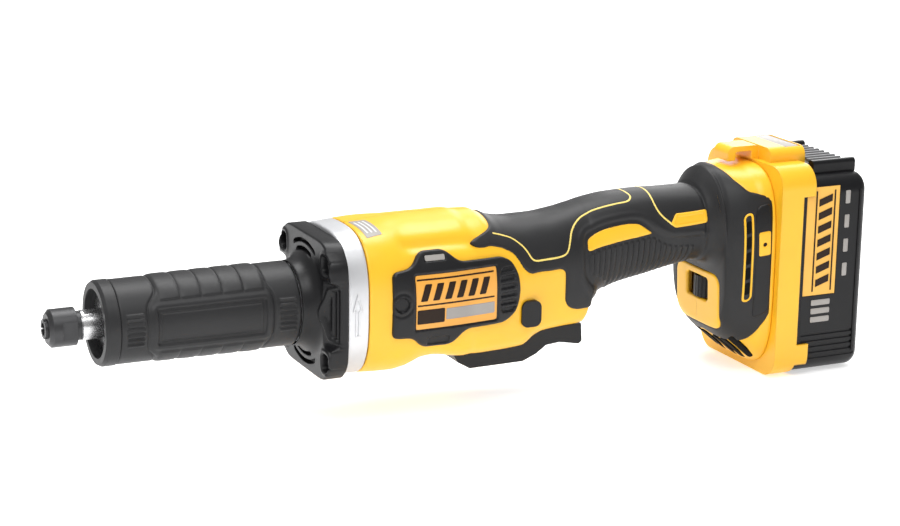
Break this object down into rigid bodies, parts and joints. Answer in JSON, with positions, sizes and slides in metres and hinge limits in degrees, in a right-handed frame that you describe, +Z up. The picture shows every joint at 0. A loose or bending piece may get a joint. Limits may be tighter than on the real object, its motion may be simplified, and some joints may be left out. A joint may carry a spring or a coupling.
{
  "type": "die grinder",
  "caption": "Cordless straight die grinder with a collet nose, rubber front grip, paddle switch handle and a slide-on battery pack on its rear foot.",
  "frame": {"origin": "centre of the collet mouth on the spindle axis", "axes": "+X along the spindle towards the battery, +Z up away from the paddle, +Y to the tool's right-hand clamshell half"},
  "size_m": [0.4332, 0.0764, 0.1194],
  "materials": {
    "yellow_plastic": "semi-gloss moulded nylon",
    "black_rubber": "soft matte overmould",
    "black_plastic": "fine textured moulding",
    "grey_plastic": "smooth moulding",
    "amber_label": "printed foil",
    "black_oxide": "black oxide on steel",
    "bright_steel": "ground",
    "silver_alloy": "die cast, silver coat",
    "lamination": "stacked steel sheet",
    "copper": "enamelled winding",
    "board": "printed circuit",
    "cell_wrap": "wrapped cell, steel can over a light core",
    "spring_steel": "drawn wire",
    "contact": "plated strip"
  },
  "bodies": {
    "tool": {"front_bearing_outer": "bright_steel", "middle_bearing_outer": "bright_steel", "rear_bearing_outer": "bright_steel", "bearing_balls": "bright_steel", "neck_housing": "silver_alloy", "bearing_retainer": "bright_steel", "nose_ring": "black_plastic", "nose_grip": "black_rubber", "exhaust_flange": "black_plastic", "nose_screws": "black_oxide", "field_ring": "silver_alloy", "stator": "lamination", "windings": "copper", "rear_bearing_holder": "grey_plastic", "hall_board": "board", "housing_left": "yellow_plastic", "housing_right": "yellow_plastic", "overmould_left": "black_rubber", "overmould_right": "black_rubber", "side_cover_left": "black_plastic", "side_cover_right": "black_plastic", "badge_plates": "amber_label", "housing_screws": "black_oxide", "module_cover": "black_plastic", "foot_frame": "yellow_plastic", "paddle_pin": "bright_steel", "paddle_spring": "spring_steel", "switch_body": "black_plastic", "lock_spring": "spring_steel", "dial_base": "board", "controller_board": "board", "heat_sink": "silver_alloy", "capacitor": "grey_plastic", "leads": "black_rubber", "terminal_block": "black_plastic", "terminal_blades": "contact"},
    "rotor": {"spindle": "bright_steel", "rotor_core": "lamination", "rotor_magnets": "lamination", "cooling_fan": "grey_plastic", "front_bearing_inner": "bright_steel", "middle_bearing_inner": "bright_steel", "rear_bearing_inner": "bright_steel"},
    "pack": {"pack_case": "black_plastic", "pack_front": "black_plastic", "cells": "cell_wrap", "cell_holders": "grey_plastic", "pack_socket": "black_plastic", "pack_contacts": "contact", "latch_springs": "spring_steel", "pack_labels": "amber_label", "pack_screws": "black_oxide"},
    "collet": {"collet": "bright_steel"},
    "nut": {"collet_nut": "black_oxide"},
    "paddle_lever": {"paddle": "black_plastic"},
    "plunger": {"switch_plunger": "grey_plastic"},
    "lock_off": {"lock_button": "black_plastic"},
    "dial": {"speed_dial": "black_plastic"},
    "latch": {"pack_latch": "grey_plastic"},
    "gauge": {"gauge_button": "grey_plastic"}
  },
  "joints": [
    {"name": "spindle_spin", "type": "hinge", "parent": "tool", "child": "rotor", "pos_m": [0, 0, 0], "axis": [1, 0, 0], "continuous": true},
    {"name": "collet_slide", "type": "slide", "parent": "rotor", "child": "collet", "axis": [-1, 0, 0], "range_m": [0, 0.002]},
    {"name": "nut_turn", "type": "hinge", "parent": "collet", "child": "nut", "pos_m": [0.009, 0, 0], "axis": [-1, 0, 0], "range_deg": [0, 720]},
    {"name": "paddle_press", "type": "hinge", "parent": "tool", "child": "paddle_lever", "pos_m": [0.2085, 0, -0.0265], "axis": [0, -1, 0], "range_deg": [0, 3], "stiffness_Nm_per_rad": 4, "springref_deg": -1.15, "deforming": ["paddle_spring"]},
    {"name": "plunger_press", "type": "slide", "parent": "tool", "child": "plunger", "axis": [0, 0, 1], "range_m": [0, 0.0028]},
    {"name": "lock_press", "type": "slide", "parent": "tool", "child": "lock_off", "axis": [0, 1, 0], "range_m": [0, 0.003], "stiffness_N_per_m": 600, "springref_m": -0.001, "deforming": ["lock_spring"]},
    {"name": "dial_turn", "type": "hinge", "parent": "tool", "child": "dial", "pos_m": [0.3606, 0, -0.015], "axis": [0, 0, 1], "range_deg": [-150, 150]},
    {"name": "pack_slide", "type": "slide", "parent": "tool", "child": "pack", "axis": [0, 0, -1], "range_m": [0, 0.12]},
    {"name": "latch_press", "type": "slide", "parent": "pack", "child": "latch", "axis": [0, 0, -1], "range_m": [0, 0.003], "stiffness_N_per_m": 800, "springref_m": -0.0015, "deforming": ["latch_springs"]},
    {"name": "gauge_press", "type": "slide", "parent": "pack", "child": "gauge", "axis": [-1, 0, 0], "range_m": [0, 0.0004], "stiffness_N_per_m": 1200, "springref_m": -0.0003}
  ],
  "couplings": [
    {"joint": "nut_turn", "follows": "collet_slide", "rad_per_m": 6283.1},
    {"joint": "plunger_press", "follows": "paddle_press", "m_per_rad": 0.0525}
  ]
}
